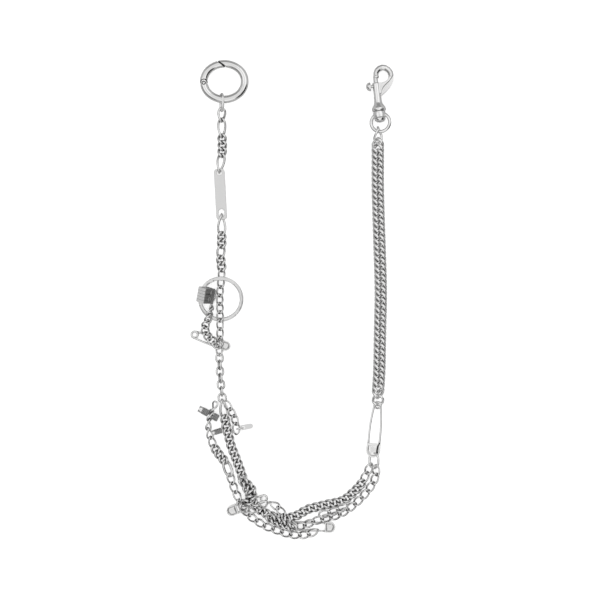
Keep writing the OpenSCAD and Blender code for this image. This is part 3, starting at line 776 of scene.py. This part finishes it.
def cut_away(piece, tool):
    """Cuts the tool out of the piece and throws the tool away."""
    shape_with(piece, "BOOLEAN", operation="DIFFERENCE", object=tool, solver="EXACT")
    bpy.data.objects.remove(tool)


# %% [markdown]
# ## Spring ring
# The ring's wire is interrupted in two places: by the slanted cut where the gate opens, and round
# the rivet it turns on. Both show as dark lines. The cut gets a gap as wide as the real one, with a
# black core inside that paints the shade in the gap. The rivet's head sits on a black disc, and a
# black arc runs round the knuckle: both are painted shade in the seams.

# %% Measures of the ring, in millimetres from its middle
ring_frame = at(-46.2, 147.95, 3.451) @ turned_to(-4, 0, 0)
RING_WIRE_RADIUS = 2.6
RIVET = (-13.83, -1.29)
KNUCKLE_RADIUS = 2.5
# The top of the ring is an arc. The cut is on it, so many degrees round from the right.
TOP_ARC_RADIUS = 15.345
TOP_ARC_MIDDLE = -3.145
CUT_TURN = 96.5
GAP_SHADE_WIRE = 4.7
KNUCKLE_SHADE_WIRE = 0.5
RIVET_SHADE_RADIUS = 1.35
RIVET_RADIUS = 0.95
RIVET_FLATNESS = 0.45
print("ring's rivet in mm:", RIVET, "cut at", CUT_TURN, "degrees")

# %% Ring and gate with the slanted gap
for node in ("spring_ring", "ring_gate"):
    ring_part = smooth_copy(node)
    gap = cut_plate("slanted_gap", [(-6, -0.5), (6, -0.5), (6, 0.5), (-6, 0.5)], low=-4, high=4)
    gap.data.transform(ring_frame @ at(-1.7, 11.7, 0) @ turned_to(0, 0, -38))
    cut_away(ring_part, gap)
    put_on(one_skin(ring_part, size=0.2, rounds=5), BODY_OF[node], "cast_silver", cast_silver, node)

# %% Painted shade in the gap and round the knuckle, and the rivet
# The black core, painted shade in the gap, reaches so many degrees to either side of the cut. The black arc,
# painted shade in the knuckle's seam, is sunk a little in the wire.
GAP_SHADE_REACH = 8
ARC_SUNK = 0.08
gap_shade_line = []
for i in range(9):
    turn = math.radians(CUT_TURN + GAP_SHADE_REACH - 2 * i)
    gap_shade_line.append((TOP_ARC_RADIUS * math.cos(turn), TOP_ARC_RADIUS * math.sin(turn) + TOP_ARC_MIDDLE, 0))
knuckle_line = []
for i in range(17):
    turn = math.radians(8 + 164 * i / 16)
    across = KNUCKLE_RADIUS * math.cos(turn)
    height = math.sqrt(RING_WIRE_RADIUS ** 2 - across ** 2) - ARC_SUNK
    knuckle_line.append((RIVET[0] + across, RIVET[1] + KNUCKLE_RADIUS * math.sin(turn), height))
gap_shade = bend_wire("gate_gap_shade", gap_shade_line, GAP_SHADE_WIRE, closed=False, roundness=6)
knuckle_shade = bend_wire("knuckle_shade_line", knuckle_line, KNUCKLE_SHADE_WIRE, closed=False)
bpy.ops.mesh.primitive_cylinder_add(
    vertices=32, radius=RIVET_SHADE_RADIUS * MM, depth=0.5 * MM,
    location=(RIVET[0] * MM, RIVET[1] * MM, 2.45 * MM))
rivet_shade = bpy.context.object
bpy.ops.object.transform_apply(location=True, rotation=True, scale=True)
# These black pieces are painted shade.
for dark_part in (gap_shade, knuckle_shade, rivet_shade):
    dark_part.data.transform(ring_frame)
put_on(join(gap_shade, knuckle_shade, rivet_shade), "gate", "dark_silver", painted_gap_shade)
bpy.ops.mesh.primitive_uv_sphere_add(
    segments=24, ring_count=12, radius=RIVET_RADIUS * MM, location=(0, 0, 0))
rivet = bpy.context.object
rivet.name = "gate_rivet"
rivet.data.transform(ring_frame @ at(*RIVET, 2.62) @ Matrix.Diagonal((1, 1, RIVET_FLATNESS, 1)))
bpy.ops.object.shade_smooth()
put_on(rivet, "chain", "cast_silver", cast_silver)

# %% [markdown]
# ## Name plate
# The plate is cut from sheet and tumbled, so its corners and edges are round, and it is brushed
# along its length. The blank is a block whose upright edges are rounded. Two holes are cut out of
# it, and the last small bevel runs round all its edges. It is left bare.

# %% A block and its upright edges
def block(length, width, thick, middle=0.0):
    """A block in millimetres, its middle at an X."""
    bpy.ops.mesh.primitive_cube_add(size=1, location=(middle * MM, 0, 0))
    made = bpy.context.object
    made.dimensions = (length * MM, width * MM, thick * MM)
    bpy.ops.object.transform_apply(location=True, rotation=True, scale=True)
    return made


def round_upright(piece, radius, beyond=-1000.0):
    """Rounds the upright edges of a block, all of them or only those beyond an X, in millimetres."""
    piece.data.attributes.new("bevel_weight_edge", "FLOAT", "EDGE")
    weights = piece.data.attributes["bevel_weight_edge"].data
    for edge in piece.data.edges:
        a, b = (piece.data.vertices[k].co for k in edge.vertices)
        if abs(a.z - b.z) > 0.1 * MM and a.x > beyond * MM:
            weights[edge.index].value = 1
    shape_with(piece, "BEVEL", limit_method="WEIGHT", width=radius * MM, segments=10)


# %% Plate
PLATE_LENGTH = 34.6
PLATE_WIDTH = 7.2
PLATE_THICKNESS = 1.3
CORNER_RADIUS = 2.2
plate = block(PLATE_LENGTH, PLATE_WIDTH, PLATE_THICKNESS)
plate.name = "name_plate_blank"
round_upright(plate, CORNER_RADIUS)
# Each hole: how far its middle is from the plate's middle, its length and its width.
for off_middle, long, wide in ((PLATE_LENGTH / 2 - 2.6, 3.4, 3.4), (4.7 - PLATE_LENGTH / 2, 5.2, 4.0)):
    outline = [(off_middle + x, y) for x, y, z in flat_line(long, wide, 0, stations=40)]
    cut_away(plate, cut_plate("hole", outline, low=-3, high=3))
round_edges(plate, 0.35, segments=3, sharper_than=50)
smooth_up_to(35)
keep_flats_flat(plate)
plate.data.transform(at(-48.8, 71.5, 2.65) @ turned_to(0, 0, 93))
put_on(plate, "chain", "plate_silver", plate_silver, "name_plate")

# %% [markdown]
# ## Padlock
# The lock's body is a pack of steel plates riveted together. Of the two sides that can be seen from
# above, the left one shows the edges of the plates and is painted lit, and the right one is painted
# in shade. The copy has these two finishes, a light and a dark copy of the silver, and which one a
# face gets depends on where it points.

# %% Painted lit and shaded sides of the lock
lock = smooth_copy("padlock_body", 0.1)
put_on(lock, "chain", "dark_silver", dark_silver, "padlock_body")
lock.data.materials.append(lock_lit_side_silver)
# Faces turned to the left get the painted lit finish, the others the painted shaded one.
for face in lock.data.polygons:
    face.material_index = 1 if face.normal.x < -0.25 else 0
print("light faces on the lock:", sum(face.material_index for face in lock.data.polygons))

# %% [markdown]
# ## Snap hook
# The hook is cast in one piece: a turned barrel with a bell at its foot, a loop that thins out to
# the nose, and a web that fills the corner between them, with a lower wing on its outer side. Each
# is modelled by itself. Bodies of revolution are spun from half an outline, the loop is a bent
# wire of changing thickness, and web and wing are outlines with a thickness. One skin joins them.
# The track of the bolt's knob is cut out, and the turned button under the bell is added last.

# %% Turned bodies
def spun(name, outline, around=48):
    """A body of revolution about Y. The outline holds pairs of radius and height in millimetres."""
    edges = [(i, i + 1) for i in range(len(outline) - 1)]
    body = new_mesh(name, [(r, y, 0) for r, y in outline], edges, [])
    bpy.ops.object.mode_set(mode="EDIT")
    bpy.ops.mesh.select_all(action="SELECT")
    bpy.ops.mesh.spin(steps=around, angle=2 * math.pi, center=(0, 0, 0), axis=(0, 1, 0))
    bpy.ops.object.mode_set(mode="OBJECT")
    merge_points(body, 0.002)
    smooth_up_to(35)
    return body


# %% The parts of the casting
# The hook's own frame has its Y along the barrel, from the swivel ring to the nose.
hook_frame = at(59.6, 120.8, 5.3) @ turned_to(0, 0, 6.3) @ turned_to(-4.8, 0, 0)
barrel = spun("hook_cast", [
    (0, 6.95), (3.6, 6.95), (4.5, 7.2), (4.85, 7.9), (4.75, 8.8), (4.3, 9.9), (3.6, 10.9), (3.0, 11.8),
    (2.7, 12.8), (2.55, 14.5), (2.5, 20), (2.55, 25.6), (2.35, 26.4), (2.0, 26.6), (0, 26.6)])
# Each point of the bend: its X and Y, and the radius of the wire there.
LOOP_WIRE = 4.2
bend = [
    (0.65, 30.2, 1.75), (0.55, 31.4, 1.7), (0.75, 33.0, 1.8), (1.7, 34.9, 1.95), (3.3, 36.0, 2.05),
    (5.3, 36.6, 2.1), (7.4, 36.1, 2.05), (9.3, 34.6, 2.0), (10.5, 32.6, 1.9), (10.8, 30.4, 1.8),
    (10.2, 28.6, 1.6)]
loop = bend_wire("hook_loop", [(x, y, 0) for x, y, r in bend], LOOP_WIRE, closed=False,
                 thickness=[r / (LOOP_WIRE / 2) for x, y, r in bend])
web = cut_plate("hook_web", [
    (0.5, 26.4), (3.6, 26.0), (6.4, 26.6), (8.6, 28.3), (9.6, 30.0), (11.2, 29.2), (9.0, 26.6),
    (6.4, 24.6), (4.4, 22.8), (3.3, 21.0), (2.6, 18.8), (0.5, 18.4)], low=-1.9, high=1.9)
wing = cut_plate("hook_wing", [
    (11.2, 31.0), (12.5, 30.0), (12.3, 27.8), (11.2, 25.2), (9.2, 22.4), (6.6, 20.0),
    (4.0, 18.1), (2.4, 17.4), (2.4, 21.0), (6.0, 25.0), (9.6, 28.4)], low=-1.15, high=1.15)
nose = spun("hook_nose", [
    (0, 29.6), (1.5, 29.7), (1.95, 30.1), (2.0, 30.7), (1.85, 31.4), (1.2, 31.8), (0, 31.9)])
nose.data.transform(at(0.65, 0, 0))

# %% One casting, its track and its button
hook = one_skin(join(barrel, loop, web, wing, nose), size=0.16, rounds=3)
track = [(-4, 17.1), (-1.4, 17.1), (-1.4, 25.5), (-4, 25.5)]
cut_away(hook, cut_plate("knob_track", track, low=-1.1, high=1.1))
smooth_up_to(40)
button = spun("hook_button", [
    (0, 2.2), (3.5, 2.2), (3.75, 1.9), (3.7, 1.4), (3.3, 0.5), (2.4, -0.2), (1.2, -0.6), (0, -0.7)])
shank = spun("hook_shank", [(0, 1.9), (1.45, 1.9), (1.45, 7.2), (0, 7.2)])
join(hook, button, shank)
hook.data.transform(hook_frame)
put_on(hook, "hook", "cast_silver", cast_silver, "hook_body")

# %% Bolt and its knob
rod = spun("bolt_cast", [(0, 17), (1.5, 17), (1.5, 30.7), (1.3, 31.1), (0, 31.2)], around=32)
stem = spun("knob_stem", [(0, -0.4), (1.0, -0.4), (1.0, 3.2), (0, 3.2)], around=32)
head = spun("knob_head", [
    (0, 3.0), (2.7, 3.0), (3.0, 3.25), (3.05, 3.7), (2.8, 4.6), (2.1, 5.5), (1.1, 6.05), (0, 6.2)])
for part in (stem, head):
    part.data.transform(at(-0.85, 24.3, 0) @ turned_to(0, 0, 90))
join(rod, stem, head)
rod.data.transform(hook_frame)
put_on(rod, "slide_bolt", "cast_silver", cast_silver, "bolt")

# %% Swivel ring with its boss
EYE_HALF_WIDTH = 6.5
EYE_HALF_HEIGHT = 6.2
EYE_MIDDLE = -0.8
EYE_WIRE = 2.3
EYE_TURN = -16
eye_line = []
for i in range(64):
    t = 2 * math.pi * i / 64
    eye_line.append((EYE_HALF_WIDTH * math.cos(t), EYE_MIDDLE + EYE_HALF_HEIGHT * math.sin(t), 0))
eye = bend_wire("swivel_eye_cast", eye_line, EYE_WIRE, closed=True, roundness=5)
# The ring is turned a little about the barrel's axis, as it lies in the photograph.
eye.data.transform(turned_to(0, EYE_TURN, 0))
boss = spun("eye_boss", [
    (1.6, 2.35), (3.7, 2.4), (4.1, 2.8), (4.25, 4.0), (4.25, 5.4), (4.1, 6.4), (3.7, 6.8),
    (1.6, 6.85), (1.6, 2.35)])
join(eye, boss)
eye.data.transform(hook_frame)
put_on(eye, "chain", "cast_silver", cast_silver, "swivel_eye")

# %% [markdown]
# ## Safety pins
# A safety pin is one wire: it comes out of the cap, winds once and a half round to make the
# spring, and runs back into the cap. The cap is thin sheet, pressed to a D with a raised rim.
# The wire is bent along points, and the cap starts as a block whose front corners are bevelled
# round. Each pin lies where its CAD solid lies.

# %% Pin wire
def pin_line(reach, spread, radius, low, high, lean, bow):
    """The wire of a pin from the cap round the coil and back, coil at the origin, cap towards +X."""
    tilt = Matrix.Rotation(math.radians(lean), 3, "X")
    coil = []
    for i in range(28):
        u = i / 27
        turn = math.radians(90 + 540 * u)
        height = low + (high - low) * u
        coil.append(tilt @ Vector((radius * math.cos(turn), radius * math.sin(turn), height)))

    def arm(start, side):
        line = []
        for i in range(1, 9):
            u = i / 8
            end = Vector((reach, side * spread, 0))
            line.append(start.lerp(end, u) + Vector((0, side * bow * math.sin(math.pi * u), 0)))
        return line
    return list(reversed(arm(coil[0], 1))) + coil + arm(coil[-1], -1)


# %% Pin cap
def pin_cap(length, width, thick):
    """A D-shaped sheet cap from x 0 to its length, with a raised rim."""
    cap = block(length, width, thick, middle=length / 2)
    round_upright(cap, width * 0.49, beyond=length * 0.9)
    # On each broad face the first inset leaves the rim, and the next two dip down and up again.
    for up in (1, -1):
        bpy.ops.object.mode_set(mode="EDIT")
        bpy.ops.mesh.select_all(action="DESELECT")
        bpy.ops.object.mode_set(mode="OBJECT")
        for face in cap.data.polygons:
            face.select = face.normal.z * up > 0.9
        bpy.ops.object.mode_set(mode="EDIT")
        bpy.ops.mesh.inset(thickness=width * 0.10 * MM)
        bpy.ops.mesh.inset(thickness=width * 0.07 * MM, depth=-0.5 * MM)
        bpy.ops.mesh.inset(thickness=width * 0.07 * MM, depth=0.45 * MM)
        bpy.ops.object.mode_set(mode="OBJECT")
    round_edges(cap, 0.22, segments=2, sharper_than=40)
    smooth_up_to(35)
    return cap


# %% The four pins
# Each pin: its node and place, its reach from the coil to the middle of the cap, the length and
# width of the cap, the lean of the coil in degrees, the heights of the coil's two ends, and the bow
# of the arms.
PINS = (
    ("safety_pin_1", at(-66.4, -23.8, 0.8) @ turned_to(0, -0.8, -20), 22.4, 6.6, 6.6, 0, -0.05, 1.5, 0.5),
    ("safety_pin_2", at(-19.3, -134.9, 2.45) @ turned_to(0, 3, -158.7), 23.4, 7.5, 7.5, 0, -0.7, 0.8, 0.3),
    ("safety_pin_3", at(1.1, -153.5, 0.8) @ turned_to(0, -0.8, -3), 24.5, 7.2, 7.4, 0, -0.05, 1.5, 0.2),
    ("safety_pin_4", at(57.9, -71.7, 2.1) @ turned_to(0, -2.3, -95.7), 30.8, 9.6, 9.4, 25, -0.4, 0.5, 0.7),
)
PIN_WIRE = 1.35
COIL_RADIUS = 2.15
CAP_THICKNESS = 1.8
INTO_CAP = 1.2
INSIDE_RIM = 1.0
for node, place, reach, cap_length, cap_width, lean, low, high, bow in PINS:
    back = reach - cap_length / 2
    line = pin_line(back + INTO_CAP, cap_width / 2 - INSIDE_RIM, COIL_RADIUS, low, high, lean, bow)
    wire = bend_wire(node + "_wire", line, PIN_WIRE, closed=False)
    cap = pin_cap(cap_length, cap_width, CAP_THICKNESS)
    cap.data.transform(at(back, 0, 0))
    pin = join(wire, cap)
    pin.data.transform(place)
    put_on(pin, "chain", "pin_silver", pin_silver, node)

# %% Painted shade in the slot of the last pin's cap
SLOT_WIDTH = 1.2
slot_line = [(25.6, 3.9, 0.5), (27.2, 3.0, 0.5), (28.6, 2.6, 0.5), (30.9, 2.45, 0.5), (33.2, 2.7, 0.5)]
# A black tube along the slot paints the shade in it.
slot_shade_tube = bend_wire("pin_slot_shade", slot_line, SLOT_WIDTH, closed=False)
slot_shade_tube.data.transform(PINS[-1][1])
put_on(slot_shade_tube, "chain", "dark_silver", painted_gap_shade)

# %% [markdown]
# ## Barrel charm and small barrel
# The charm is turned like a tiny screw: a bright end, a knurled grip, a thin neck and a second
# knurled drum. Knurling is a grid of little raised squares. Each side face of a cylinder is inset
# by itself and pushed out, which gives that grid. A smaller barrel, made in the same way, lies on
# the table in the tangle below the charm.

# %% Plain and knurled drums
def drum(start, end, width, knurled=False, rings=4, around=26):
    """A drum along Z, with raised squares on its side where it is knurled, else with dished ends."""
    bpy.ops.mesh.primitive_cylinder_add(
        vertices=around, radius=width / 2 * MM, depth=(end - start) * MM,
        location=(0, 0, (start + end) / 2 * MM), end_fill_type="NGON")
    part = bpy.context.object
    bpy.ops.object.transform_apply(location=True, rotation=True, scale=True)
    if knurled:
        for k in range(1, rings):
            bpy.ops.object.mode_set(mode="EDIT")
            bpy.ops.mesh.select_all(action="SELECT")
            height = start + (end - start) * k / rings
            bpy.ops.mesh.bisect(plane_co=(0, 0, height * MM), plane_no=(0, 0, 1))
            bpy.ops.object.mode_set(mode="OBJECT")
        for face in part.data.polygons:
            face.select = abs(face.normal.z) < 0.5
        bpy.ops.object.mode_set(mode="EDIT")
        bpy.ops.mesh.inset(thickness=0.13 * MM, depth=0.16 * MM, use_individual=True)
        bpy.ops.object.mode_set(mode="OBJECT")
    else:
        for face in part.data.polygons:
            face.select = abs(face.normal.z) > 0.5
        bpy.ops.object.mode_set(mode="EDIT")
        bpy.ops.mesh.inset(thickness=0.35 * MM)
        bpy.ops.mesh.inset(thickness=0.25 * MM, depth=-0.25 * MM)
        bpy.ops.object.mode_set(mode="OBJECT")
        round_edges(part, 0.18, segments=2, sharper_than=30)
    smooth_up_to(30)
    return part


def put_on_barrel(dark, light, place):
    """Moves the dark knurled part and the light ends of a barrel to their place and puts them on."""
    for piece, paint, slot in ((dark, knurled_silver, "dark_silver"), (light, cast_silver, "cast_silver")):
        piece.data.transform(place)
        put_on(piece, "chain", slot, paint)


# %% Small barrel
small_frame = at(-54.4, -90.6, 1.95) @ turned_to(0, 90, 16)
small_ends = join(drum(0, 2.0, 3.9, around=32), drum(6.4, 8.2, 2.0, around=20))
small_ends.name = "small_barrel_ends"
small_grip = drum(1.9, 6.6, 3.5, knurled=True, around=20)
small_grip.name = "small_barrel_grip"
put_on_barrel(small_grip, small_ends, small_frame)

# %% Barrel charm
charm_frame = at(-63.8, -73.75, 2.8) @ turned_to(0, 90, -27.5)
bright = drum(0, 3.1, 5.1, around=40)
bright.name = "barrel_charm_end"
grip = drum(3.0, 7.6, 4.5, knurled=True)
far_drum = drum(11.2, 15.0, 4.6, knurled=True)
neck = drum(1.0, 14.0, 1.8, around=20)
charm = join(grip, far_drum, neck)
charm.name = "barrel_charm_drums"
put_on_barrel(charm, bright, charm_frame)
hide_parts("barrel_charm")
